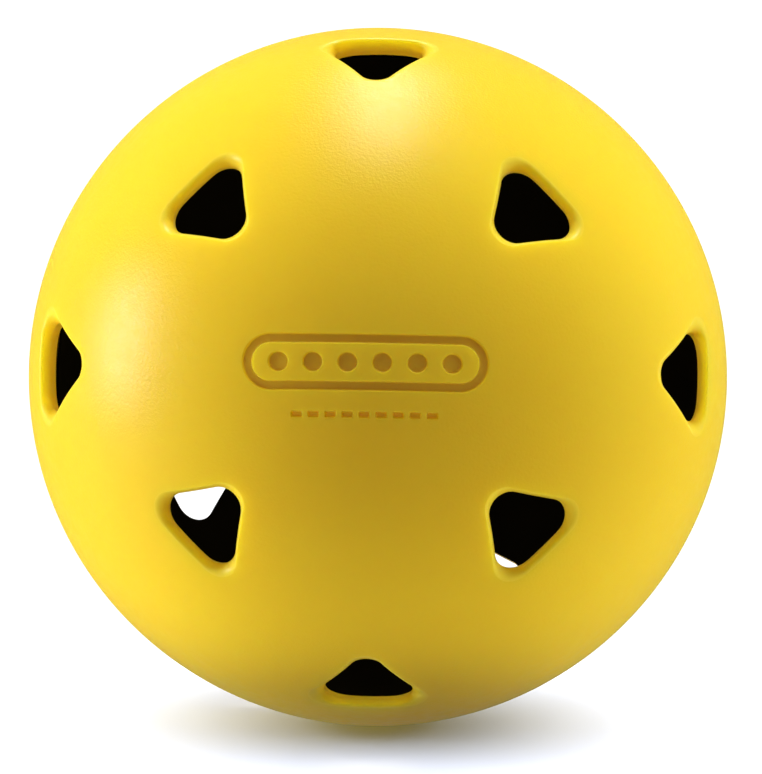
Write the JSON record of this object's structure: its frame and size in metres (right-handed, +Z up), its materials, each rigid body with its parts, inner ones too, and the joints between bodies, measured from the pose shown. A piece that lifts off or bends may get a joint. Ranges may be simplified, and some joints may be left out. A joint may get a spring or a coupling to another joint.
{
  "type": "pickleball",
  "caption": "Hollow vented plastic practice ball of two moulded half shells with triangular air vents, welded together round the equator.",
  "frame": {"origin": "centre of the ball", "axes": "Y along the pole axis, the front pole with the sunk marks facing -Y; +Z up, towards the top of the marks; X to the right seen from in front"},
  "size_m": [0.074, 0.074, 0.074],
  "materials": {
    "shell_plastic": "satin moulded polyethylene, fine stipple",
    "weld_plastic": "fused polyethylene flash"
  },
  "bodies": {
    "root": {"front_half_shell": "shell_plastic", "rear_half_shell": "shell_plastic", "weld_bead": "weld_plastic"}
  },
  "joints": []
}
